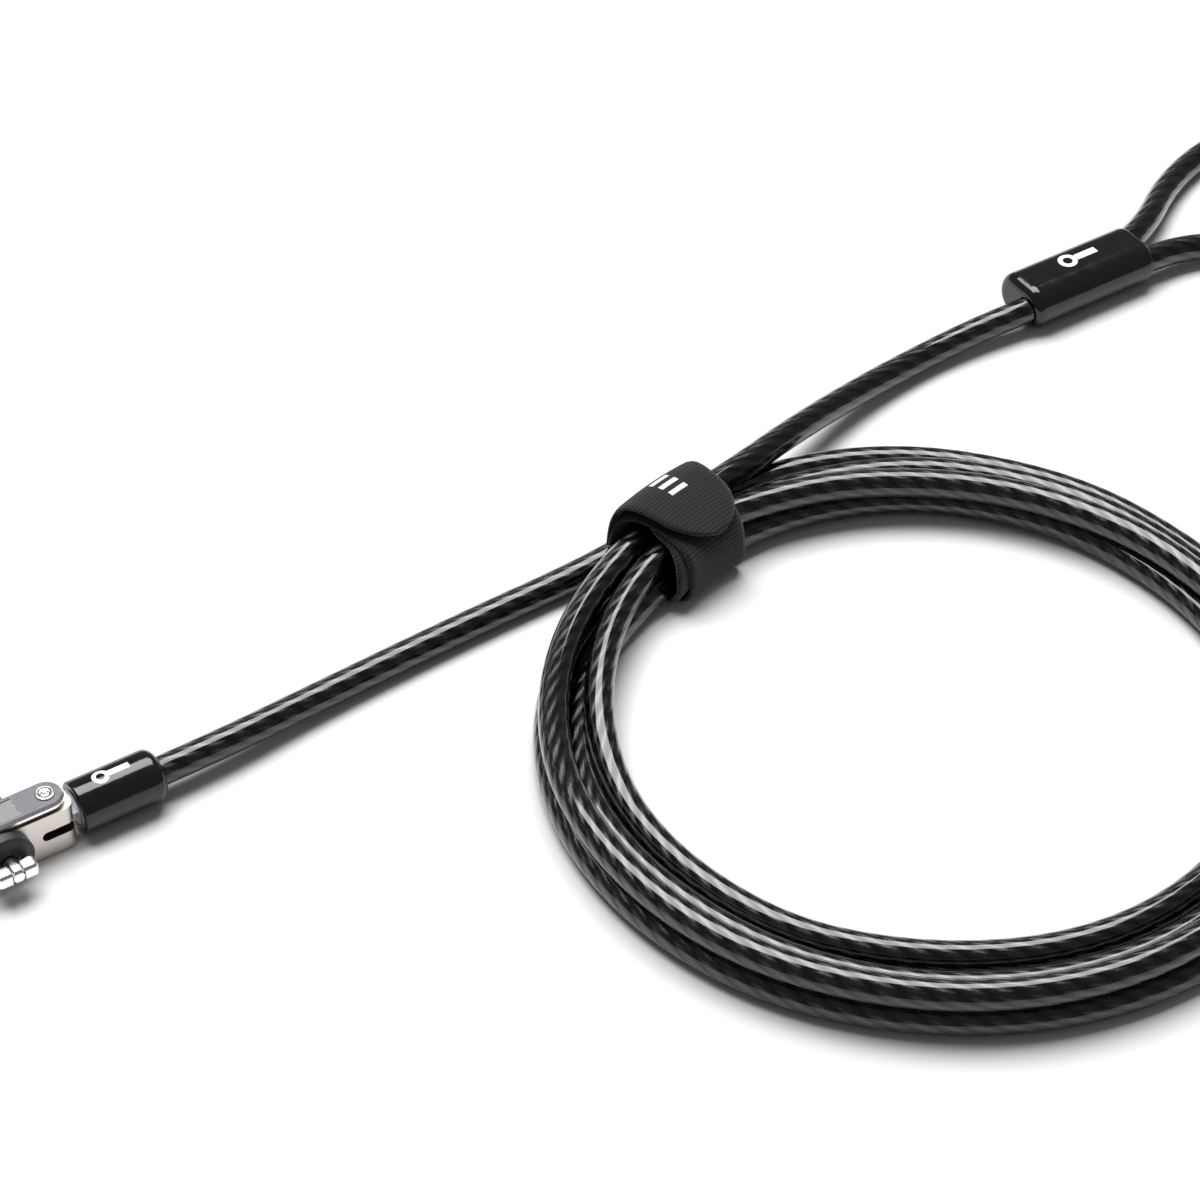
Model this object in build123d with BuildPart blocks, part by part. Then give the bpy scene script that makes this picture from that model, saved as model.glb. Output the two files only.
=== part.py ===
"""Laptop cable lock: a T-tip disc lock on a hinged arm, with its coiled cable and anchor loop.

Millimetres. +X runs along the arm towards the cable, +Z is up, the tip points to -Y.
The origin lies on the bottom rest face, under the axis of the hinge rivet.
"""
from build123d import *
import math
import os

# ---- cable ----
CABLE_R = 2.5
FERRULE_Z = 4.5  # axis height of the ferrule, the tang and the arm's slot

# ---- hinge arm and cover plate ----
ARM_W = 6.4
ARM_H = 8.8
ARM_LONG = 12.6  # from the round end's centre to the hinge
ARM_END = 3.4
ARM_CORNER = 1.6  # keeps the swinging arm's end within 4.1 of the hinge
LAND_W = 4.8  # narrow step under the cover plate, which leaves a shadow gap
LAND_H = 0.7
PLATE_W = 6.0
PLATE_T = 0.9
PLATE_BEVEL = 0.4
PLATE_Z = ARM_H + LAND_H
PANEL_LONG, PANEL_WIDE = 8.6, 4.0
PANEL_DEPTH = 0.15
SLOT_H = 1.8
SLOT_END = -2.6
RIVET_R = 1.0
RIVET_HEAD_R = 1.6
RIVET_FOOT = 0.9  # depth of the seat for the rivet's lower head

# ---- tang and ferrule ----
EYE_R = 1.9
TANG_T = 1.4
TANG_W = 3.2
SHOULDER_R = 2.6
SHOULDER_START, SHOULDER_END = 4.4, 5.35
POST_R = 1.4
POST_END = 10.4
GROOVE_START, GROOVE_END = 8.5, 9.3
RING_R = 2.3
FERRULE_R = 4.5
FERRULE_START, FERRULE_END = 4.5, 19.4
CORE_R = 3.6
CORE_START, CORE_END = 4.3, 17.2
SEAT_END = 5.45  # the shoulder's seat in the core
CHAMBER_START, CHAMBER_END = 8.0, 11.0
CHAMBER_R = 2.5
SOCKET_START = 12.0  # the cable's end in the core

# ---- lock barrel, axis along Y ----
BARREL_X = -9.4
BARREL_Z = 4.9
NECK_R = 3.6
ARM_BORE_R = 3.7
COLLAR_R = 4.6
COLLAR_FACE = -5.4
DRUM_R = 4.9
DRUM_START = 3.8
DRUM_END = 20.6
DRUM_BORE_R = 4.0
SHAFT_R = 1.3
BEARING_R = 2.2
CARRIER_R = 3.9
CARRIER_BORE_R = 2.8
CARRIER_START = 5.0
CARRIER_END = 18.6
DISC_R = 2.7
DISC_COUNT = 7
DISC_T = 1.0
SPACER_T = 0.5
DISC_PITCH = 1.6
KEY_SLOT = (3.6, 1.4)

# ---- locking tip ----
TIP_LONG = 6.8
TIP_HIGH = 2.5
TIP_BACK = -6.9
TIP_FRONT = -9.1
PIN_R = 0.55
PIN_SPREAD = 2.6

# ---- coil of cable ----
COIL_X, COIL_Y = 132.9, -57.2
COIL_IN, COIL_OUT = 50.5, 68.0
COIL_H = 10.4
COIL_ROUND = 4.5

# ---- strap round the coil ----
STRAP_AT = 103.5  # degrees round the coil from +X
STRAP_IN, STRAP_OUT = 51.2, 67.0  # what the strap closes round, a little narrower than the coil
STRAP_W = 17.0
STRAP_T = 1.2
STRAP_TOP = 13.2
TONGUE_LONG = 15.0

# ---- anchor loop's sleeve ----
SLEEVE_X0, SLEEVE_X1 = 209.8, 238.0
SLEEVE_Y = 22.0
SLEEVE_Z = 4.4
SLEEVE_W, SLEEVE_H = 12.4, 8.8
SLEEVE_WALL = 2.4  # thickness of each of the sleeve's ends
CRIMP_W, CRIMP_H = 10.9, 6.6
CRIMP_X0, CRIMP_X1 = SLEEVE_X0 + SLEEVE_WALL, SLEEVE_X1 - SLEEVE_WALL
TWIN = 2.6  # each of the two cables in the sleeve lies this far from its axis
SEAM_X = 223.0

# ---- routes of the cable ----
LEAD_ROUTE = [
    (SOCKET_START, 0.0, FERRULE_Z),
    (29.0, 0.0, FERRULE_Z),
    (50.0, 2.6, 2.9),
    (78.0, 4.4, 2.5),
    (105.0, 5.0, 2.5),
]
TAIL_ROUTE = [
    (137.0, 7.2, 8.6),
    (151.0, 11.7, 7.2),
    (168.0, 17.3, 4.0),
    (185.0, 20.2, 2.8),
    (199.0, 20.5, 3.5),
    (211.0, SLEEVE_Y - TWIN, SLEEVE_Z),
    (SEAM_X, SLEEVE_Y - TWIN, SLEEVE_Z),
]
LOOP_ROUTE = [
    (SEAM_X, SLEEVE_Y + TWIN, SLEEVE_Z),
    (236.0, SLEEVE_Y + TWIN, SLEEVE_Z),
    (246.5, 29.0, 3.8),
    (257.0, 36.4, 2.9),
    (268.0, 41.2, 2.5),
    (282.0, 43.8, 2.5),
    (298.0, 42.8, 2.5),
    (313.0, 35.0, 2.5),
    (320.5, 20.0, 2.5),
    (316.0, 4.0, 2.5),
    (302.0, -5.0, 2.5),
    (286.0, -2.8, 2.5),
    (270.5, 6.6, 2.5),
    (258.0, 15.0, 2.7),
    (247.5, 19.3, 3.6),
    (237.0, SLEEVE_Y - TWIN, SLEEVE_Z),
    (SEAM_X, SLEEVE_Y - TWIN, SLEEVE_Z),
]

os.makedirs("parts", exist_ok=True)


def save(name, solid):
    """Label a finished piece and write its file."""
    solid.label = name
    export_step(solid, f"parts/{name}.step")


def across(y, x=BARREL_X, z=BARREL_Z):
    """Sketch plane square to the barrel at y, its normal along +Y."""
    return Plane(origin=(x, y, z), x_dir=(1, 0, 0), z_dir=(0, 1, 0))


def along(x, y=0.0, z=FERRULE_Z):
    """Sketch plane square to the ferrule at x, its normal along +X and its x along +Y."""
    return Plane(origin=(x, y, z), x_dir=(0, 1, 0), z_dir=(1, 0, 0))


def route_radii(points):
    """The bend radius at each inner point: 0.45 of the shorter run over tan of half the turn."""
    spots = [Vector(*p) for p in points]
    radii = []
    for before, here, after in zip(spots, spots[1:], spots[2:]):
        run_in = here - before
        run_out = after - here
        half_turn = math.radians(run_in.get_angle(run_out)) / 2
        shorter = min(run_in.length, run_out.length)
        radii.append(0.45 * shorter / math.tan(half_turn))
    return radii


def cable_tube(name, points):
    """A round tube along straight runs and tangent arcs, with its radii and volume printed."""
    radii = route_radii(points)
    with BuildPart() as tube:
        with BuildLine() as way:
            FilletPolyline(*points, radius=radii)
        path = way.wires()[0]
        with BuildSketch(Plane(origin=path @ 0, z_dir=path % 0)):
            Circle(CABLE_R)
        sweep(path=path)
    length = path.length
    ideal = math.pi * CABLE_R**2 * length
    print(name, "radii", [round(r) for r in radii], "length", round(length, 1),
          "volume ratio", round(tube.part.volume / ideal, 4))
    save(name, tube.part)


# ================= hinge arm =================
with BuildPart() as hinge_arm:
    with BuildSketch(Plane.XY) as arm_plan:
        with Locations((-ARM_LONG / 2, 0)):
            SlotCenterToCenter(ARM_LONG, ARM_W)
        with Locations((ARM_END - ARM_W / 2, 0)):
            RectangleRounded(ARM_W, ARM_W, ARM_CORNER)
    extrude(amount=ARM_H)
    chamfer(hinge_arm.edges().group_by(Axis.Z)[0], 0.25)
    with BuildSketch(Plane.XY.offset(ARM_H)):
        with Locations((-ARM_LONG / 2, 0)):
            SlotCenterToCenter(ARM_LONG, LAND_W)
    extrude(amount=LAND_H)
    with BuildSketch(across(-ARM_W / 2)):
        Circle(ARM_BORE_R)
    extrude(amount=ARM_W, mode=Mode.SUBTRACT)
    with BuildSketch(across(-ARM_W / 2, SLOT_END + SLOT_H / 2, FERRULE_Z)):
        with Locations((ARM_W / 2, 0)):
            Rectangle(ARM_W, SLOT_H)
        Circle(SLOT_H / 2)
    extrude(amount=ARM_W, mode=Mode.SUBTRACT)
    with BuildSketch(Plane.XY):
        Circle(RIVET_R)
    extrude(amount=PLATE_Z, mode=Mode.SUBTRACT)
    with BuildSketch(Plane.XY):
        Circle(RIVET_HEAD_R)
    extrude(amount=RIVET_FOOT, mode=Mode.SUBTRACT)
save("hinge_arm", hinge_arm.part)

# ================= cover plate over the arm =================
with BuildPart() as cover_plate:
    with BuildSketch(Plane.XY.offset(PLATE_Z)):
        with Locations((-ARM_LONG / 2, 0)):
            SlotCenterToCenter(ARM_LONG, PLATE_W)
        Circle(RIVET_R, mode=Mode.SUBTRACT)
    extrude(amount=PLATE_T)
    rim = cover_plate.faces().sort_by(Axis.Z)[-1].outer_wire().edges()
    chamfer(rim, PLATE_BEVEL)
    with BuildSketch(Plane.XY.offset(PLATE_Z + PLATE_T)):
        with Locations((BARREL_X, 0)):
            Rectangle(PANEL_LONG, PANEL_WIDE)
    extrude(amount=-PANEL_DEPTH, mode=Mode.SUBTRACT)
save("cover_plate", cover_plate.part)

# ================= rivet that is the hinge pin, its head low and dished =================
head_base = PLATE_Z + PLATE_T
with BuildPart() as hinge_rivet:
    with BuildSketch(Plane.XZ):
        with BuildLine():
            Polyline(
                (0, head_base + 0.16), (0, 0), (RIVET_HEAD_R - 0.2, 0),
                (RIVET_HEAD_R - 0.1, RIVET_FOOT), (RIVET_R, RIVET_FOOT), (RIVET_R, head_base),
                (RIVET_HEAD_R, head_base), (RIVET_HEAD_R, head_base + 0.1),
            )
            ThreePointArc(
                (RIVET_HEAD_R, head_base + 0.1), (RIVET_HEAD_R - 0.08, head_base + 0.24),
                (RIVET_HEAD_R - 0.3, head_base + 0.3),
            )
            Line((RIVET_HEAD_R - 0.3, head_base + 0.3), (RIVET_HEAD_R - 0.5, head_base + 0.3))
            ThreePointArc(
                (RIVET_HEAD_R - 0.5, head_base + 0.3), (0.7, head_base + 0.14),
                (0.4, head_base + 0.2),
            )
            Line((0.4, head_base + 0.2), (0, head_base + 0.16))
        make_face()
    revolve(axis=Axis.Z)
save("hinge_rivet", hinge_rivet.part)

# ================= swivel tang: flat eye, stem, shoulder and post =================
with BuildPart() as swivel_tang:
    with BuildSketch(Plane.XY.offset(FERRULE_Z - TANG_T / 2)):
        Circle(EYE_R)
        with Locations((SHOULDER_START / 2, 0)):
            Rectangle(SHOULDER_START, TANG_W)
        Circle(RIVET_R + 0.06, mode=Mode.SUBTRACT)
    extrude(amount=TANG_T)
    with BuildSketch(along(SHOULDER_START)):
        Circle(SHOULDER_R)
    extrude(amount=SHOULDER_END - SHOULDER_START)
    with BuildSketch(along(SHOULDER_END)):
        Circle(POST_R)
    extrude(amount=POST_END - SHOULDER_END)
    with BuildSketch(along(GROOVE_START)):
        Circle(POST_R)
        Circle(POST_R - 0.35, mode=Mode.SUBTRACT)
    extrude(amount=GROOVE_END - GROOVE_START, mode=Mode.SUBTRACT)
save("swivel_tang", swivel_tang.part)

# ================= ring that keeps the tang's post in the ferrule =================
with BuildPart() as swivel_ring:
    with BuildSketch(along(GROOVE_START + 0.05)):
        Circle(RING_R)
        Circle(POST_R - 0.3, mode=Mode.SUBTRACT)
        with Locations((0, 1.6)):
            Rectangle(1.5, 3.2, mode=Mode.SUBTRACT)
    extrude(amount=GROOVE_END - GROOVE_START - 0.1)
save("swivel_ring", swivel_ring.part)

# ================= ferrule core, crimped on the cable's end =================
with BuildPart() as ferrule_core:
    with BuildSketch(along(CORE_START)):
        Circle(CORE_R)
    extrude(amount=CORE_END - CORE_START)
    with BuildSketch(along(CORE_START)):
        Circle(SHOULDER_R + 0.1)
    extrude(amount=SEAT_END - CORE_START, mode=Mode.SUBTRACT)
    with BuildSketch(along(SEAT_END)):
        Circle(POST_R + 0.08)
    extrude(amount=CHAMBER_START - SEAT_END, mode=Mode.SUBTRACT)
    with BuildSketch(along(CHAMBER_START)):
        Circle(CHAMBER_R)
    extrude(amount=CHAMBER_END - CHAMBER_START, mode=Mode.SUBTRACT)
    with BuildSketch(along(SOCKET_START)):
        Circle(CABLE_R)
    extrude(amount=CORE_END - SOCKET_START, mode=Mode.SUBTRACT)
    chamfer(ferrule_core.edges().group_by(Axis.X)[0].sort_by(SortBy.RADIUS)[-1], 0.3)
save("ferrule_core", ferrule_core.part)

# ================= ferrule cover, with a domed end round the cable =================
with BuildPart() as ferrule_cover:
    with BuildSketch(along(FERRULE_START)):
        Circle(FERRULE_R)
    extrude(amount=FERRULE_END - FERRULE_START)
    fillet(ferrule_cover.edges().group_by(Axis.X)[-1], 1.8)
    fillet(ferrule_cover.edges().group_by(Axis.X)[0], 0.4)
    with BuildSketch(along(FERRULE_START)):
        Circle(CORE_R)
    extrude(amount=CORE_END - FERRULE_START, mode=Mode.SUBTRACT)
    with BuildSketch(along(CORE_END)):
        Circle(CABLE_R + 0.15)
    extrude(amount=FERRULE_END - CORE_END, mode=Mode.SUBTRACT)
save("ferrule_cover", ferrule_cover.part)

# ================= barrel: neck held in the arm, and the drum behind it =================
with BuildPart() as lock_barrel:
    with BuildSketch(across(-4.8)):
        Circle(2.9)
    extrude(amount=1.5)
    with BuildSketch(across(-3.3)):
        Circle(NECK_R)
    extrude(amount=DRUM_START + 3.3)
    with BuildSketch(across(DRUM_START)):
        Circle(DRUM_R)
    extrude(amount=DRUM_END - DRUM_START)
    chamfer(lock_barrel.edges().group_by(Axis.Y)[-1], 0.6)
    with BuildSketch(across(-4.8)):
        Circle(BEARING_R)
    extrude(amount=9.4, mode=Mode.SUBTRACT)
    with BuildSketch(across(4.6)):
        Circle(DRUM_BORE_R)
    extrude(amount=DRUM_END - 4.6, mode=Mode.SUBTRACT)
save("lock_barrel", lock_barrel.part)

# ================= black collar round the tip =================
with BuildPart() as nose_collar:
    with BuildSketch(across(COLLAR_FACE)):
        Circle(COLLAR_R)
    extrude(amount=-3.35 - COLLAR_FACE)
    chamfer(nose_collar.edges().group_by(Axis.Y)[0], 0.4)
    with BuildSketch(across(-4.8)):
        Circle(2.9)
    extrude(amount=1.5, mode=Mode.SUBTRACT)
    with BuildSketch(across(COLLAR_FACE)):
        Circle(SHAFT_R + 0.25)
        with GridLocations(2 * PIN_SPREAD, 0, 2, 1):
            Circle(PIN_R)
    extrude(amount=0.6, mode=Mode.SUBTRACT)
save("nose_collar", nose_collar.part)

# ================= two pins that stop the head turning in its slot =================
with BuildPart() as guard_pins:
    with BuildSketch(across(-6.7)):
        with GridLocations(2 * PIN_SPREAD, 0, 2, 1):
            Circle(PIN_R)
    extrude(amount=1.9)
save("guard_pins", guard_pins.part)

# ================= T tip on its shaft =================
with BuildPart() as locking_tip:
    with BuildSketch(across(TIP_FRONT)):
        RectangleRounded(TIP_LONG, TIP_HIGH, 0.5)
    extrude(amount=TIP_BACK - TIP_FRONT)
    chamfer(locking_tip.edges().group_by(Axis.Y)[0], 0.4)
    with BuildSketch(across(TIP_FRONT)):
        with GridLocations(1.7, 0, 2, 1):
            Rectangle(0.5, TIP_HIGH)
        Circle(0.95, mode=Mode.SUBTRACT)
    extrude(amount=TIP_BACK - TIP_FRONT, mode=Mode.SUBTRACT)
    with BuildSketch(across(TIP_BACK - 0.4)):
        Circle(SHAFT_R)
    extrude(amount=6.1 - TIP_BACK + 0.4)
save("locking_tip", locking_tip.part)

# ================= bearing of the tip's shaft =================
with BuildPart() as tip_bearing:
    with BuildSketch(across(-4.6)):
        Circle(BEARING_R)
        Circle(SHAFT_R + 0.06, mode=Mode.SUBTRACT)
    extrude(amount=8.9)
save("tip_bearing", tip_bearing.part)

# ================= thrust washer behind the bearing =================
with BuildPart() as thrust_washer:
    with BuildSketch(across(4.68)):
        Circle(3.4)
        Circle(SHAFT_R + 0.06, mode=Mode.SUBTRACT)
    extrude(amount=0.25)
save("thrust_washer", thrust_washer.part)

# ================= spring washer between arm and drum =================
with BuildPart() as swivel_washer:
    with BuildSketch(across(3.3)):
        Circle(4.5)
        Circle(NECK_R, mode=Mode.SUBTRACT)
    extrude(amount=DRUM_START - 3.3)
save("swivel_washer", swivel_washer.part)

# ================= disc carrier, turned by the key =================
with BuildPart() as disc_carrier:
    with BuildSketch(across(CARRIER_START)):
        Circle(CARRIER_R)
        Circle(SHAFT_R, mode=Mode.SUBTRACT)
    extrude(amount=1.2)
    with BuildSketch(across(CARRIER_START + 1.2)):
        Circle(CARRIER_R)
        Circle(CARRIER_BORE_R, mode=Mode.SUBTRACT)
        with Locations((0, -3.3)):
            Rectangle(1.1, 1.3, mode=Mode.SUBTRACT)
    extrude(amount=CARRIER_END - CARRIER_START - 1.2)
save("disc_carrier", disc_carrier.part)

# ================= detainer discs, each with its key slot =================
disc_stack = CARRIER_START + 1.3
with BuildPart() as detainer_discs:
    for number in range(DISC_COUNT):
        with BuildSketch(across(disc_stack + number * DISC_PITCH)):
            Circle(DISC_R)
            Rectangle(*KEY_SLOT, mode=Mode.SUBTRACT)
            with Locations((0, -DISC_R)):
                Circle(0.45, mode=Mode.SUBTRACT)
        extrude(amount=DISC_T)
save("detainer_discs", detainer_discs.part)

# ================= washers between the discs =================
with BuildPart() as disc_spacers:
    for number in range(DISC_COUNT - 1):
        with BuildSketch(across(disc_stack + number * DISC_PITCH + DISC_T + 0.05)):
            Circle(DISC_R)
            Circle(1.9, mode=Mode.SUBTRACT)
        extrude(amount=SPACER_T)
save("disc_spacers", disc_spacers.part)

# ================= side bar in the carrier's slot =================
with BuildPart() as side_bar:
    with BuildSketch(across(disc_stack + 0.3)):
        with Locations((0, -3.3)):
            RectangleRounded(0.9, 0.9, 0.2)
    extrude(amount=10.4)
save("side_bar", side_bar.part)

# ================= hardened guard disc with the keyhole =================
with BuildPart() as key_guard:
    with BuildSketch(across(CARRIER_END + 0.05)):
        Circle(CARRIER_R)
        Rectangle(*KEY_SLOT, mode=Mode.SUBTRACT)
        Circle(0.9, mode=Mode.SUBTRACT)
    extrude(amount=1.0)
save("key_guard", key_guard.part)

# ================= ring that closes the drum =================
with BuildPart() as face_ring:
    with BuildSketch(across(CARRIER_END + 1.15)):
        Circle(DRUM_BORE_R)
        Circle(2.9, mode=Mode.SUBTRACT)
    extrude(amount=0.75)
save("face_ring", face_ring.part)

# ================= strap round the coil =================
coil_mid = (COIL_IN + COIL_OUT) / 2
strap_mid = (STRAP_IN + STRAP_OUT) / 2
half_angle = math.degrees(STRAP_W / 2 / strap_mid)
coil_axis = Axis((COIL_X, COIL_Y, 0), (0, 0, 1))


def coil_plane(degrees):
    """Upright plane through the coil's axis, its x pointing out of the coil."""
    bearing = math.radians(degrees)
    return Plane(
        origin=(COIL_X, COIL_Y, 0),
        x_dir=(math.cos(bearing), math.sin(bearing), 0),
        z_dir=(math.sin(bearing), -math.cos(bearing), 0),
    )


with BuildPart() as strap_band:
    with BuildSketch(coil_plane(STRAP_AT - half_angle)):
        with Locations((strap_mid, STRAP_TOP / 2)):
            RectangleRounded(STRAP_OUT - STRAP_IN + 2 * STRAP_T, STRAP_TOP, COIL_ROUND + STRAP_T)
            RectangleRounded(STRAP_OUT - STRAP_IN, STRAP_TOP - 2 * STRAP_T, COIL_ROUND,
                             mode=Mode.SUBTRACT)
    revolve(axis=coil_axis, revolution_arc=2 * half_angle)
save("strap_band", strap_band.part)

tongue_bearing = math.radians(STRAP_AT)
tongue_plane = Plane(
    origin=(COIL_X + strap_mid * math.cos(tongue_bearing),
            COIL_Y + strap_mid * math.sin(tongue_bearing), STRAP_TOP),
    x_dir=(math.cos(tongue_bearing), math.sin(tongue_bearing), 0),
    z_dir=(0, 0, 1),
)
with BuildPart() as strap_tongue:
    with BuildSketch(tongue_plane):
        RectangleRounded(TONGUE_LONG, STRAP_W - 2, 4.0)
    extrude(amount=STRAP_T)
save("strap_tongue", strap_tongue.part)

# ================= coil of cable: the closed outer shape of its turns =================
with BuildPart() as cable_coil:
    with BuildSketch(coil_plane(0)):
        with Locations((coil_mid, COIL_H / 2)):
            RectangleRounded(COIL_OUT - COIL_IN, COIL_H, COIL_ROUND)
    revolve(axis=coil_axis)
    with BuildSketch(coil_plane(STRAP_AT - half_angle)):
        with Locations((strap_mid, STRAP_TOP / 2)):
            Rectangle(COIL_OUT - COIL_IN + 6, STRAP_TOP + 2)
            RectangleRounded(STRAP_OUT - STRAP_IN, STRAP_TOP - 2 * STRAP_T, COIL_ROUND,
                             mode=Mode.SUBTRACT)
    revolve(axis=coil_axis, revolution_arc=2 * half_angle, mode=Mode.SUBTRACT)
save("cable_coil", cable_coil.part)

# ================= crimp inside the anchor loop's sleeve =================
with BuildPart() as loop_crimp:
    with BuildSketch(along(CRIMP_X0, SLEEVE_Y, SLEEVE_Z)):
        SlotOverall(CRIMP_W, CRIMP_H)
        with GridLocations(2 * TWIN, 0, 2, 1):
            Circle(CABLE_R, mode=Mode.SUBTRACT)
    extrude(amount=CRIMP_X1 - CRIMP_X0)
save("loop_crimp", loop_crimp.part)

# ================= sleeve of the anchor loop =================
with BuildPart() as loop_sleeve:
    with BuildSketch(along(SLEEVE_X0, SLEEVE_Y, SLEEVE_Z)):
        SlotOverall(SLEEVE_W, SLEEVE_H)
    extrude(amount=SLEEVE_X1 - SLEEVE_X0)
    fillet(loop_sleeve.edges().group_by(Axis.X)[0], 2.0)
    fillet(loop_sleeve.edges().group_by(Axis.X)[-1], 1.4)
    with BuildSketch(along(CRIMP_X0, SLEEVE_Y, SLEEVE_Z)):
        SlotOverall(CRIMP_W, CRIMP_H)
    extrude(amount=CRIMP_X1 - CRIMP_X0, mode=Mode.SUBTRACT)
    with BuildSketch(along(SLEEVE_X0, SLEEVE_Y, SLEEVE_Z)):
        with Locations((-TWIN, 0)):
            Circle(CABLE_R + 0.1)
    extrude(amount=SLEEVE_WALL, mode=Mode.SUBTRACT)
    with BuildSketch(along(CRIMP_X1, SLEEVE_Y, SLEEVE_Z)):
        with GridLocations(2 * TWIN, 0, 2, 1):
            Circle(CABLE_R + 0.05)
    extrude(amount=SLEEVE_WALL, mode=Mode.SUBTRACT)
save("loop_sleeve", loop_sleeve.part)

# ================= the cable's tubes =================
cable_tube("lead_cable", LEAD_ROUTE)
cable_tube("tail_cable", TAIL_ROUTE)
cable_tube("loop_cable", LOOP_ROUTE)
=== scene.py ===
"""Laptop cable lock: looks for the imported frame. Metres, in the frame's own axes."""
import math

import bmesh
import bpy
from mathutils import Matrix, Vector


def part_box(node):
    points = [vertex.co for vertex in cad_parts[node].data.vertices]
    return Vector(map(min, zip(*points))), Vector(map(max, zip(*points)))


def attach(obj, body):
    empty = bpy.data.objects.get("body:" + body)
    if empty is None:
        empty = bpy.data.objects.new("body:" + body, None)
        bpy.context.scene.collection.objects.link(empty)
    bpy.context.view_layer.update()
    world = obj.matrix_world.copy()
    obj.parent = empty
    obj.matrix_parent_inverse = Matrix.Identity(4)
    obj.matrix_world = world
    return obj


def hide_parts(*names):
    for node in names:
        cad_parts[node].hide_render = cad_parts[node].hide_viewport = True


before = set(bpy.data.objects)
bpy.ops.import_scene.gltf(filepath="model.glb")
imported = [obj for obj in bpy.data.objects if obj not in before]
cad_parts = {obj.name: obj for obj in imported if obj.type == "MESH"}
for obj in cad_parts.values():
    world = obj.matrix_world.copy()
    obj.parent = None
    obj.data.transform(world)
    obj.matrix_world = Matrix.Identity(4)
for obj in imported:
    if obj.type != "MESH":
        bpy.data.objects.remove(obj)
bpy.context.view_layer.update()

MM = 0.001

# ---- cable ----
CABLE_D = 5.0 * MM
SLEEVE_LOW, SLEEVE_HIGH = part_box("loop_sleeve")
SLEEVE_MID = (SLEEVE_LOW + SLEEVE_HIGH) / 2
TWIN = 2.6  # mm from the sleeve's axis to each of its two cables
SLEEVE_Y = SLEEVE_MID.y / MM
SLEEVE_Z = SLEEVE_MID.z / MM
COIL_LOW, COIL_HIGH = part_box("cable_coil")
COIL_X = (COIL_LOW.x + COIL_HIGH.x) / 2 / MM
COIL_Y = (COIL_LOW.y + COIL_HIGH.y) / 2 / MM
STRAP_AT = 103.5  # degrees round the coil from +X
ROPE_STRANDS = 6.0
STRAND_STEP = 4.44  # mm along the cable from one strand of the rope to the next
PLATE_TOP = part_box("cover_plate")[1].z / MM
ARM_TOP = 8.85  # mm; above it the arm is the narrow step under the plate, coloured near-black as painted shade
SLOT_MIDDLE = 4.5  # mm; height of the slot between the two lobes
BARS_FROM_TIP = 12.4  # mm from the strap's tip to the middle of its printed bars
BAR_STEP = 2.1  # mm from one printed bar to the next


# ====================== shader language ======================
class Wire:
    """A shader socket with arithmetic: each operator adds its Math node."""

    def __init__(self, tree, socket):
        self.tree = tree
        self.socket = socket

    def math(self, operation, other=None, clamp=False):
        node = self.tree.nodes.new("ShaderNodeMath")
        node.operation = operation
        node.use_clamp = clamp
        for slot, value in zip(node.inputs, (self, other)):
            if isinstance(value, Wire):
                self.tree.links.new(value.socket, slot)
            elif value is not None:
                slot.default_value = value
        return Wire(self.tree, node.outputs[0])

    def __add__(self, other):
        return self.math("ADD", other)

    def __sub__(self, other):
        return self.math("SUBTRACT", other)

    def __mul__(self, other):
        return self.math("MULTIPLY", other)

    def __truediv__(self, other):
        return self.math("DIVIDE", other)

    def __pow__(self, other):
        return self.math("POWER", other)

    def sin(self):
        return self.math("SINE")

    def abs(self):
        return self.math("ABSOLUTE")

    def above(self, edge):
        return self.math("GREATER_THAN", edge)

    def below(self, edge):
        return self.math("LESS_THAN", edge)

    def clamp(self):
        return self.math("ADD", 0.0, clamp=True)

    def rise(self, low, high):
        """0 below low, 1 above high, straight between."""
        return ((self - low) * (1.0 / (high - low))).clamp()


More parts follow.
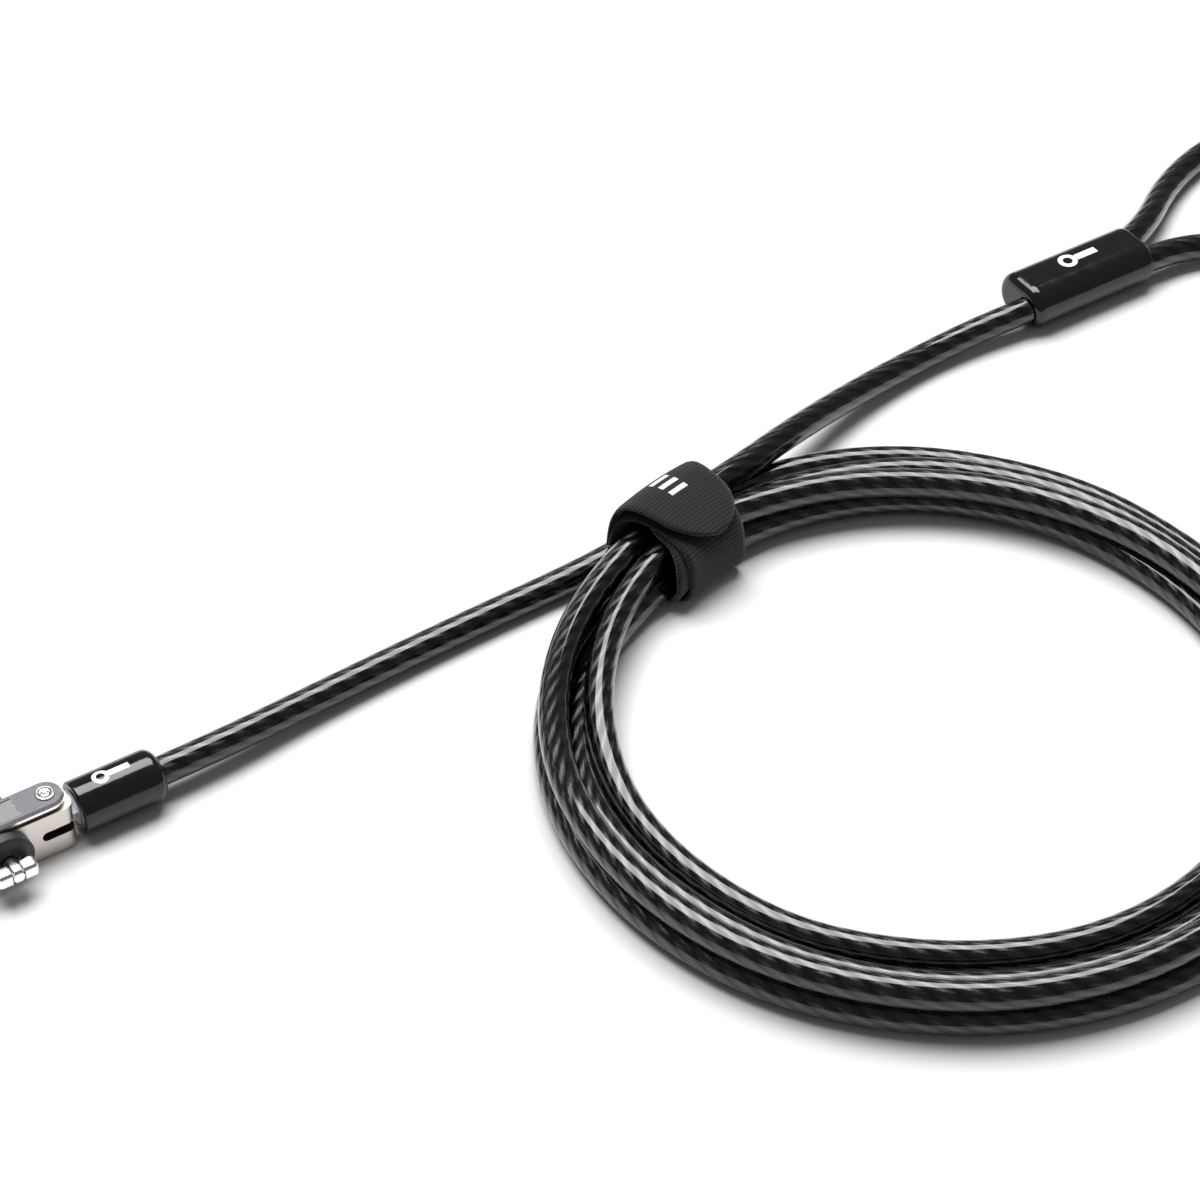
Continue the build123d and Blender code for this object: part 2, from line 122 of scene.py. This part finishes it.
class Finish:
    """A procedural material under construction."""

    def __init__(self, name):
        self.material = bpy.data.materials.new(name)
        self.material.use_nodes = True
        self.tree = self.material.node_tree
        self.tree.nodes.clear()
        self.output = self.tree.nodes.new("ShaderNodeOutputMaterial")

    def add(self, kind, settings=None, **sockets):
        """One node: its settings first, then the values or links of its sockets."""
        node = self.tree.nodes.new(kind)
        for key, value in (settings or {}).items():
            setattr(node, key, value)
        for key, value in sockets.items():
            slot = node.inputs[key.replace("_", " ")]
            if isinstance(value, Wire):
                self.tree.links.new(value.socket, slot)
            else:
                slot.default_value = value
        return node

    def wire(self, node, output=0):
        return Wire(self.tree, node.outputs[output])

    def place(self):
        """Object coordinates, in millimetres, as three wires and one vector."""
        spot = self.add("ShaderNodeTexCoord")
        scaled = self.add("ShaderNodeVectorMath", {"operation": "SCALE"},
                          Vector=self.wire(spot, 3), Scale=1 / MM)
        split = self.add("ShaderNodeSeparateXYZ", Vector=self.wire(scaled))
        return self.wire(scaled), self.wire(split, 0), self.wire(split, 1), self.wire(split, 2)

    def attribute(self, name):
        """The three numbers that a mesh's corners carry under a name."""
        node = self.add("ShaderNodeAttribute", {"attribute_name": name})
        split = self.add("ShaderNodeSeparateXYZ", Vector=self.wire(node, 1))
        return self.wire(split, 0), self.wire(split, 1), self.wire(split, 2)

    def noise(self, vector, scale, detail=3.0, roughness=0.55):
        node = self.add("ShaderNodeTexNoise", Vector=vector, Scale=scale, Detail=detail,
                        Roughness=roughness)
        return self.wire(node, 0)

    def blend(self, amount, first, second):
        """Colour from first to second as amount goes from 0 to 1."""
        node = self.add("ShaderNodeMix", {"data_type": "RGBA"})
        pairs = ((node.inputs[0], amount), (node.inputs[6], first), (node.inputs[7], second))
        for slot, value in pairs:
            if isinstance(value, Wire):
                self.tree.links.new(value.socket, slot)
            elif isinstance(value, tuple):
                slot.default_value = (*value, 1.0)
            else:
                slot.default_value = value
        return Wire(self.tree, node.outputs[2])

    def stretched(self, vector, scales):
        """A vector with each of its axes scaled, for a grain that runs one way."""
        node = self.add("ShaderNodeVectorMath", {"operation": "MULTIPLY"}, Vector=vector)
        node.inputs[1].default_value = scales
        return self.wire(node)

    def bump(self, height, strength, distance):
        node = self.add("ShaderNodeBump", Height=height, Strength=strength, Distance=distance)
        return self.wire(node)

    def shader(self, **sockets):
        if isinstance(sockets.get("Base_Color"), tuple):
            sockets["Base_Color"] = (*sockets["Base_Color"], 1.0)
        node = self.add("ShaderNodeBsdfPrincipled", **sockets)
        self.tree.links.new(node.outputs[0], self.output.inputs[0])
        return self.material


# ====================== materials ======================
def cable_finish():
    """Smoke-clear plastic over a twisted steel rope: a smooth shine, the strands dim beneath it."""
    f = Finish("smoke coated steel rope")
    run, turn, _ = f.attribute("lay")
    spot, _, _, _ = f.place()
    wander = f.noise(spot, 0.25, 2.0)
    lay = turn * ROPE_STRANDS - run * (2 * math.pi / STRAND_STEP) + wander * 1.6
    crown = (lay * 0.5).sin().abs()
    wires = (lay * 4.0 + run * 5.0).sin() * 0.5 + 0.5
    cloud = f.noise(spot, 0.13, 3.0)
    speck = f.noise(spot, 1.6, 2.0)
    # The rope's colour is near-black in the grooves between strands, as painted shade, and lighter
    # on each strand's crown; the cloud, speck and wire terms vary the tone at random.
    tone_and_painted_crown_light = (crown ** 1.5) * (cloud * 0.5 + speck * 0.7 + wires * 0.25 - 0.1)
    color = f.blend(tone_and_painted_crown_light.clamp(), (0.0050, 0.0046, 0.0044), (0.058, 0.053, 0.049))
    return f.shader(
        Base_Color=color, Metallic=1.0, Roughness=speck * 0.16 + 0.22,
        Coat_Weight=1.0, Coat_Roughness=0.07, Coat_IOR=1.5,
        Normal=f.bump(crown + wires * 0.06 + speck * 0.10, 0.65, 0.00040))


def badge(length, width):
    """A plain white badge, ring and bar, in millimetres along and across from its middle."""
    reach = ((length + 2.2) * (length + 2.2) + width * width) ** 0.5
    ring = reach.above(0.75) * reach.below(1.5)
    bar = (length - 1.2).abs().below(1.9) * width.abs().below(0.62)
    return (ring + bar).clamp()


def moulded_finish(name, middle, grow):
    """Moulded gloss black with a printed badge on its upper side; middle is in millimetres."""
    f = Finish(name)
    spot, x, y, z = f.place()
    haze = f.noise(spot, 0.5, 3.0)
    fine = f.noise(spot, 6.0, 2.0)
    mark = badge((x - middle[0]) / grow, (y - middle[1]) / grow) * z.above(middle[2])
    wear = fine.rise(0.25, 0.36) * mark
    color = f.blend(wear, f.blend(haze, (0.0035, 0.0035, 0.004), (0.010, 0.010, 0.011)),
                    (0.80, 0.81, 0.86))
    return f.shader(
        Base_Color=color, Roughness=haze * 0.12 + wear * 0.25 + 0.06, IOR=1.5,
        Normal=f.bump(haze * 0.8 + fine * 0.08 + mark * 0.3, 0.25, 0.00010))


def metal_finish(name, dark, light, rough, metallic=1.0):
    """A metal with fine directional grain and soft tone variation."""
    f = Finish(name)
    spot, _, _, _ = f.place()
    lines = f.noise(f.stretched(spot, (0.15, 2.0, 2.0)), 3.0, 4.0, 0.6)
    cloud = f.noise(spot, 0.6, 3.0)
    color = f.blend(lines * 0.5 + cloud * 0.5, dark, light)
    return f.shader(
        Base_Color=color, Metallic=metallic, Roughness=lines * 0.14 + rough,
        Normal=f.bump(lines, 0.15, 0.00003))


def cast_nickel_finish():
    """Bead-blasted nickel of the arm: a pale warm face with a fine pitted grain, and painted shade:
    near-black on the step under the plate, dark brown in the slot.
    """
    f = Finish("blasted nickel with painted shade")
    spot, x, y, z = f.place()
    grit = f.noise(spot, 7.0, 3.0, 0.7)
    cloud = f.noise(spot, 0.5, 2.0)
    # Painted shade: the step above ARM_TOP, in the shadow of the plate, is coloured near-black.
    step = z.above(ARM_TOP)
    # Painted shade: the inside of the slot between the two lobes is coloured dark brown.
    slot = (z - SLOT_MIDDLE).abs().below(0.96) * y.abs().below(3.12) * x.above(-2.75)
    face = f.blend(grit * 0.6 + cloud * 0.4, (0.60, 0.54, 0.50), (0.80, 0.75, 0.71))
    color = f.blend(step, f.blend(slot, face, (0.085, 0.050, 0.038)), (0.030, 0.022, 0.018))
    return f.shader(
        Base_Color=color, Metallic=1.0, Roughness=grit * 0.15 + 0.30,
        Normal=f.bump(grit, 0.35, 0.00005))


def cover_plate_finish():
    """Dark satin cover plate: brushed top, a duller inset panel and a bright polished bevel."""
    f = Finish("satin cover plate")
    spot, x, y, z = f.place()
    lines = f.noise(f.stretched(spot, (0.4, 3.0, 3.0)), 3.0, 4.0, 0.65)
    speck = f.noise(spot, 5.0, 3.0, 0.7)
    top = z.above(PLATE_TOP - 0.03)
    inset = (x + 9.4).abs().below(4.29) * y.abs().below(1.99)
    panel = inset * z.below(PLATE_TOP - 0.03)
    satin = (top + panel).clamp()
    face = f.blend(lines * 0.6 + speck * 0.4, (0.070, 0.069, 0.078), (0.165, 0.162, 0.178))
    duller = f.blend(speck, (0.11, 0.11, 0.11), (0.20, 0.20, 0.20))
    color = f.blend(satin, (0.92, 0.91, 0.90), f.blend(panel, face, duller))
    return f.shader(
        Base_Color=color, Metallic=1.0, Roughness=satin * 0.12 + speck * 0.16 + 0.18,
        Normal=f.bump(lines * satin, 0.3, 0.00004))


def strap_finish():
    """Black knitted hook-and-loop tape: rows of small loops, and three plain printed bars."""
    f = Finish("black knit tape")
    run, across, side = f.attribute("weave")
    spot, _, _, _ = f.place()
    drift = f.noise(spot, 1.1, 2.0)
    wale = (across * (2 * math.pi / 0.56) + drift * 3.0).sin()
    course = (run * (2 * math.pi / 0.70) + wale * 1.0 + drift * 2.0).sin()
    stitch = (wale * 0.5 + 0.5) * (course * 0.5 + 0.5)
    fuzz = f.noise(spot, 4.0, 4.0, 0.7)
    cloud = f.noise(spot, 0.35, 2.0)
    tone = (stitch * 0.7 + fuzz * 0.6 + cloud * 0.25 - 0.28).clamp()
    knit = f.blend(tone, (0.0045, 0.0045, 0.005), (0.036, 0.036, 0.038))
    place = run - BARS_FROM_TIP
    stripes = (place * (2 * math.pi / BAR_STEP)).sin().above(0.0)
    printed = place.abs().below(1.5 * BAR_STEP) * stripes * (across + 0.4).abs().below(1.9)
    mark = printed * fuzz.above(0.38) * side.above(0.5)
    color = f.blend(mark, knit, (0.74, 0.74, 0.76))
    return f.shader(
        Base_Color=color, Roughness=fuzz * 0.1 + 0.85, Sheen_Weight=0.18, Sheen_Roughness=0.5,
        Specular_IOR_Level=0.2,
        Normal=f.bump(stitch * 0.8 + fuzz * 0.6 + mark * 0.5, 0.7, 0.00022))


def floor_finish():
    """Plain matt white."""
    f = Finish("white sweep")
    return f.shader(Base_Color=(0.78, 0.78, 0.78), Roughness=0.9, Specular_IOR_Level=0.1)


CABLE = cable_finish()
FERRULE_BLACK = moulded_finish("gloss black ferrule", (11.6, 0.0, 6.0), 0.95)
SLEEVE_BLACK = moulded_finish("gloss black sleeve", (224.5, 22.8, 6.5), 1.25)
BLASTED_NICKEL = cast_nickel_finish()
NICKEL = metal_finish("satin nickel", (0.50, 0.46, 0.42), (0.68, 0.64, 0.59), 0.28)
PLATE = cover_plate_finish()
POLISHED = metal_finish("polished steel", (0.72, 0.72, 0.71), (0.90, 0.90, 0.89), 0.10)
CHROME = metal_finish("bright chrome", (0.90, 0.90, 0.88), (0.98, 0.98, 0.96), 0.16)
SPRING_STEEL = metal_finish("spring steel", (0.38, 0.39, 0.41), (0.55, 0.56, 0.58), 0.26)
# Painted shade: the ferrule's steel core is coloured dark grey for the shade in the gap between the
# arm and the ferrule.
SHADED_STEEL = metal_finish("steel darkened as painted shade", (0.10, 0.10, 0.10), (0.24, 0.235, 0.23), 0.24)
BRONZE = metal_finish("turned bronze", (0.48, 0.33, 0.15), (0.68, 0.50, 0.26), 0.22)
BLACK_METAL = metal_finish("black oxide", (0.020, 0.020, 0.021), (0.060, 0.059, 0.062), 0.36, 0.4)
TAPE = strap_finish()

NODE_FINISH = {
    "hinge_arm": BLASTED_NICKEL, "cover_plate": PLATE, "hinge_rivet": POLISHED,
    "swivel_tang": SPRING_STEEL, "swivel_ring": SPRING_STEEL, "ferrule_core": SHADED_STEEL,
    "ferrule_cover": FERRULE_BLACK, "lock_barrel": BLACK_METAL, "nose_collar": BLACK_METAL,
    "guard_pins": POLISHED, "locking_tip": CHROME, "tip_bearing": BRONZE,
    "thrust_washer": SPRING_STEEL, "swivel_washer": SPRING_STEEL, "disc_carrier": BRONZE,
    "detainer_discs": BRONZE, "disc_spacers": SPRING_STEEL, "side_bar": SPRING_STEEL,
    "key_guard": POLISHED, "face_ring": SPRING_STEEL, "lead_cable": CABLE, "cable_coil": CABLE,
    "tail_cable": CABLE, "loop_cable": CABLE, "loop_crimp": NICKEL, "loop_sleeve": SLEEVE_BLACK,
    "strap_band": TAPE, "strap_tongue": TAPE,
}


# ====================== camera and light ======================
TARGET = Vector((103.1, -0.15, 0.0)) * MM
CAMERA_TURN = math.radians(33.0)  # from the lock's length to the camera's right
CAMERA_RISE = math.radians(42.5)
CAMERA_DISTANCE = 586.0 * MM
depth = Vector((math.sin(CAMERA_TURN), math.cos(CAMERA_TURN), 0.0))
right = Vector((math.cos(CAMERA_TURN), -math.sin(CAMERA_TURN), 0.0))
back = Vector((0, 0, 1)) * math.sin(CAMERA_RISE) - depth * math.cos(CAMERA_RISE)


def aim(item, target):
    item.rotation_euler = (target - item.location).to_track_quat("-Z", "Y").to_euler()


def camera():
    data = bpy.data.cameras.new("camera")
    data.lens = 103.5
    data.sensor_width = 36.0
    data.clip_start = 0.01
    item = bpy.data.objects.new("camera", data)
    item.location = TARGET + back * CAMERA_DISTANCE
    aim(item, TARGET)
    bpy.context.scene.collection.objects.link(item)
    bpy.context.scene.camera = item


def softbox(name, place, wide, high, power):
    """An area light; place is (right, depth, up) in metres from the aim point."""
    data = bpy.data.lights.new(name, "AREA")
    data.shape = "RECTANGLE"
    data.size = wide
    data.size_y = high
    data.energy = power
    item = bpy.data.objects.new(name, data)
    item.location = TARGET + right * place[0] + depth * place[1] + Vector((0, 0, place[2]))
    aim(item, TARGET)
    bpy.context.scene.collection.objects.link(item)


def studio():
    softbox("overhead softbox", (-0.13, 0.43, 1.20), 1.25, 0.80, 29.0)
    world = bpy.data.worlds.new("studio")
    world.use_nodes = True
    sky = world.node_tree.nodes["Background"]
    sky.inputs[0].default_value = (1, 1, 1, 1)
    sky.inputs[1].default_value = 0.16
    bpy.context.scene.world = world
    bpy.context.scene.view_settings.view_transform = "Standard"
    bpy.ops.mesh.primitive_plane_add(size=8.0, location=(TARGET.x, TARGET.y, -0.0001))
    floor = bpy.context.object
    floor.name = "floor"
    floor.data.materials.append(floor_finish())


camera()
studio()


# ====================== the cable ======================
LEAD_ROUTE = [
    (12.0, 0.0, 4.5),
    (29.0, 0.0, 4.5),
    (50.0, 2.6, 2.9),
    (78.0, 4.4, 2.5),
    (105.0, 5.0, 2.5),
]
TAIL_ROUTE = [
    (137.0, 7.2, 8.6),
    (151.0, 11.7, 7.2),
    (168.0, 17.3, 4.0),
    (185.0, 20.2, 2.8),
    (199.0, 20.5, 3.5),
    (211.0, SLEEVE_Y - TWIN, SLEEVE_Z),
]
LOOP_ROUTE = [
    (237.0, SLEEVE_Y - TWIN, SLEEVE_Z),
    (247.5, 19.3, 3.6),
    (258.0, 15.0, 2.7),
    (270.5, 6.6, 2.5),
    (286.0, -2.8, 2.5),
    (302.0, -5.0, 2.5),
    (316.0, 4.0, 2.5),
    (320.5, 20.0, 2.5),
    (313.0, 35.0, 2.5),
    (298.0, 42.8, 2.5),
    (282.0, 43.8, 2.5),
    (268.0, 41.2, 2.5),
    (257.0, 36.4, 2.9),
    (246.5, 29.0, 3.8),
    (236.0, SLEEVE_Y + TWIN, SLEEVE_Z),
    (223.0, SLEEVE_Y + TWIN, SLEEVE_Z),
]
# Where each turn of the coil lies: degrees round from +X, then radius and height of the four
# turns, from the first to the last.
LANES = [
    (103.5, (64.2, 4.3), (59.3, 4.3), (54.4, 4.3), (56.8, 8.7)),
    (80.0, (66.2, 2.7), (60.2, 4.2), (55.0, 2.8), (54.8, 7.8)),
    (57.0, (65.6, 2.5), (59.8, 4.9), (54.9, 2.5), (53.6, 7.3)),
    (35.0, (62.8, 2.6), (58.2, 4.9), (53.4, 2.5), (52.8, 7.3)),
    (5.0, (60.2, 2.5), (56.2, 5.4), (51.8, 2.6), (52.8, 7.6)),
    (-40.0, (62.0, 2.5), (56.8, 3.4), (52.2, 2.9), (57.2, 8.3)),
    (-85.0, (63.3, 2.5), (57.2, 2.5), (51.6, 2.8), (62.0, 7.4)),
    (-125.0, (63.6, 2.5), (57.2, 2.5), (51.3, 2.8), (63.2, 7.4)),
    (-160.0, (65.0, 2.5), (58.4, 2.5), (53.3, 2.6), (64.2, 7.3)),
    (-200.0, (65.2, 2.5), (60.4, 2.5), (55.6, 3.2), (64.3, 7.3)),
    (-220.0, (64.0, 2.5), (58.9, 2.5), (56.5, 6.6), (63.2, 7.4)),
    (-240.0, (61.4, 3.0), (56.4, 2.9), (57.0, 7.7), (62.1, 7.9)),
]
COIL_TURNS = 4
COIL_END = (61.8, 8.9)  # radius and height at which the last turn leaves the coil
POINTS_PER_TURN = 24


def lane(turn, share):
    """Radius and height of a turn at a share of its way round, smooth through the lanes."""
    start = LANES[0][0]
    stops = [((start - row[0]) / 360.0, row[turn + 1]) for row in LANES]
    following = LANES[0][turn + 2] if turn < COIL_TURNS - 1 else COIL_END
    stops.append((1.0, following))
    for (low, here), (high, there) in zip(stops, stops[1:]):
        if low <= share <= high:
            t = (share - low) / (high - low)
            t = t * t * (3 - 2 * t)
            return tuple(a + (b - a) * t for a, b in zip(here, there))
    return following


def coil_route():
    """The four turns, clockwise from the strap, as points of the cable's own spline."""
    points = []
    for count in range(COIL_TURNS * POINTS_PER_TURN + 1):
        turn = min(count // POINTS_PER_TURN, COIL_TURNS - 1)
        step = count - turn * POINTS_PER_TURN
        share = step / POINTS_PER_TURN
        radius, height = lane(turn, share)
        angle = math.radians(STRAP_AT - 360.0 * share)
        grow = 1.0 + (math.pi / POINTS_PER_TURN) ** 2 / 2
        points.append((COIL_X + radius * grow * math.cos(angle),
                       COIL_Y + radius * grow * math.sin(angle), height))
    return points


def spline_points(route, resolution):
    """Points along one smooth NURBS line through a route of millimetre points."""
    data = bpy.data.curves.new("route", "CURVE")
    data.dimensions = "3D"
    data.resolution_u = resolution
    spline = data.splines.new("NURBS")
    spline.points.add(len(route) - 1)
    for point, (x, y, z) in zip(spline.points, route):
        point.co = (x * MM, y * MM, z * MM, 1.0)
    spline.order_u = 3
    spline.use_endpoint_u = True
    item = bpy.data.objects.new("route", data)
    line = bpy.data.meshes.new_from_object(item)
    points = [v.co.copy() for v in line.vertices]
    bpy.data.objects.remove(item)
    return points


def tube(name, points, radius, sides):
    """A closed tube along points, its corners carrying run (mm) and turn (radians)."""
    mesh = bpy.data.meshes.new(name)
    shape = bmesh.new()
    neighbours = zip([points[0]] + points[:-1], points[1:] + [points[-1]])
    tangents = [(b - a).normalized() for a, b in neighbours]
    side = tangents[0].cross(Vector((0, 0, 1))).normalized()
    rings = []
    runs = [0.0]
    for a, b in zip(points, points[1:]):
        runs.append(runs[-1] + (b - a).length)
    for point, tangent in zip(points, tangents):
        side = (side - tangent * side.dot(tangent)).normalized()
        up = tangent.cross(side)
        ring = []
        for count in range(sides):
            turn = 2 * math.pi * count / sides
            reach = (side * math.cos(turn) + up * math.sin(turn)) * radius
            ring.append(shape.verts.new(point + reach))
        rings.append(ring)
    layer = shape.loops.layers.float_vector.new("lay")
    for index, (low, high) in enumerate(zip(rings, rings[1:])):
        for count in range(sides):
            after = (count + 1) % sides
            face = shape.faces.new((low[count], low[after], high[after], high[count]))
            face.smooth = True
            corners = ((index, count), (index, count + 1),
                       (index + 1, count + 1), (index + 1, count))
            for loop, (at, around) in zip(face.loops, corners):
                loop[layer] = Vector((runs[at] / MM, 2 * math.pi * around / sides, 0.0))
    for ring, flip in ((rings[0], True), (rings[-1], False)):
        shape.faces.new(list(reversed(ring)) if flip else ring)
    bmesh.ops.recalc_face_normals(shape, faces=shape.faces)
    shape.to_mesh(mesh)
    shape.free()
    item = bpy.data.objects.new(name, mesh)
    bpy.context.scene.collection.objects.link(item)
    return item


cable_line = spline_points(LEAD_ROUTE + coil_route() + TAIL_ROUTE + LOOP_ROUTE, 12)
cable = tube("coated_cable", cable_line, CABLE_D / 2, 24)
cable.data.materials.append(CABLE)
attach(cable, "cable")
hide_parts("lead_cable", "cable_coil", "tail_cable", "loop_cable")

# ====================== the strap ======================
STRAP_THICK = 0.9
STRAP_WIDE = 16.0
STRAP_BEND = 60.0  # mm; radius at which its width is measured round the coil
# The strap's run round the bundle: radius, height and sideways lean, from its hidden start to
# the tongue on top. Its first turn hugs the cables, a little to the lock's side.
STRAP_ROUTE = [
    (60.0, 11.75, -1.0),
    (56.0, 11.6, -0.8),
    (52.6, 10.4, 1.4),
    (51.3, 7.4, 2.8),
    (51.2, 4.0, 3.0),
    (52.6, 1.8, 2.6),
    (56.0, 1.40, 2.2),
    (61.0, 1.40, 1.6),
    (65.6, 1.8, 0.8),
    (67.2, 4.4, 0.2),
    (67.3, 7.6, -0.4),
    (66.2, 10.8, -1.0),
    (63.2, 12.4, -1.4),
    (59.4, 12.7, -1.4),
    (55.0, 12.4, -0.8),
    (51.4, 11.0, -0.2),
    (50.2, 7.4, 0.0),
    (50.1, 3.4, 0.0),
    (51.6, 0.7, 0.0),
    (56.0, 0.46, 0.0),
    (61.0, 0.46, -0.1),
    (66.0, 0.7, -0.2),
    (68.0, 3.4, -0.3),
    (67.8, 7.6, -0.4),
    (67.2, 11.2, -0.5),
    (65.6, 14.1, -0.6),
    (62.8, 15.3, -0.7),
    (59.4, 15.2, -0.9),
    (55.8, 14.6, -1.1),
    (52.4, 13.7, -1.3),
    (49.9, 12.6, -1.4),
]
TONGUE_ROUND = 8.0  # mm of the tongue's end that is rounded off


def strap_sheet():
    """The knitted strap as one long sheet, wound twice round the bundle, its tongue rounded."""
    flat = spline_points([(r, lean, z) for r, z, lean in STRAP_ROUTE], 6)
    runs = [0.0]
    for a, b in zip(flat, flat[1:]):
        runs.append(runs[-1] + (b - a).length / MM)
    total = runs[-1]
    mesh = bpy.data.meshes.new("cable_strap")
    shape = bmesh.new()
    layer = shape.loops.layers.float_vector.new("weave")
    across_count = 22
    grid = []
    notes = {}
    for index, (point, run) in enumerate(zip(flat, runs)):
        before = flat[max(index - 1, 0)]
        after = flat[min(index + 1, len(flat) - 1)]
        tangent = after - before
        normal = Vector((tangent.z, 0.0, -tangent.x)).normalized()
        left = min(total - run, TONGUE_ROUND)
        half = STRAP_WIDE / 2 * math.sqrt(max(1 - (1 - left / TONGUE_ROUND) ** 2.0, 0.03))
        start_left = min(run, 2.0)
        half *= 0.9 + 0.1 * start_left / 2.0
        rows = []
        for face_sign in (1, -1):
            row = []
            for count in range(across_count + 1):
                share = 2 * count / across_count - 1
                edge = 1 - max(0.0, abs(share) - 0.9) * 5.0
                thick = STRAP_THICK / 2 * edge
                radius = point.x / MM + face_sign * thick * normal.x
                height = point.z / MM + face_sign * thick * normal.z
                sideways = point.y / MM + share * half
                angle = math.radians(STRAP_AT) + sideways / STRAP_BEND
                spot = Vector((COIL_X + radius * math.cos(angle),
                               COIL_Y + radius * math.sin(angle), height)) * MM
                vertex = shape.verts.new(spot)
                notes[vertex] = Vector((total - run, share * half, 1.0 if face_sign > 0 else 0.0))
                row.append(vertex)
            rows.append(row)
        grid.append(rows)
    faces = []
    for low, high in zip(grid, grid[1:]):
        for number in (0, 1):
            for count in range(across_count):
                faces.append((low[number][count], low[number][count + 1],
                              high[number][count + 1], high[number][count]))
        for count in (0, across_count):
            faces.append((low[0][count], high[0][count], high[1][count], low[1][count]))
    for rows in (grid[0], grid[-1]):
        for count in range(across_count):
            faces.append((rows[0][count], rows[0][count + 1], rows[1][count + 1], rows[1][count]))
    for corners in faces:
        face = shape.faces.new(corners)
        face.smooth = True
        for loop in face.loops:
            loop[layer] = notes[loop.vert]
    bmesh.ops.recalc_face_normals(shape, faces=shape.faces)
    shape.to_mesh(mesh)
    shape.free()
    item = bpy.data.objects.new("cable_strap", mesh)
    bpy.context.scene.collection.objects.link(item)
    item.data.materials.append(TAPE)
    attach(item, "cable")
    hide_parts("strap_band", "strap_tongue")
    return item


strap = strap_sheet()

for name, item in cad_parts.items():
    item.data.materials.clear()
    item.data.materials.append(NODE_FINISH[name])
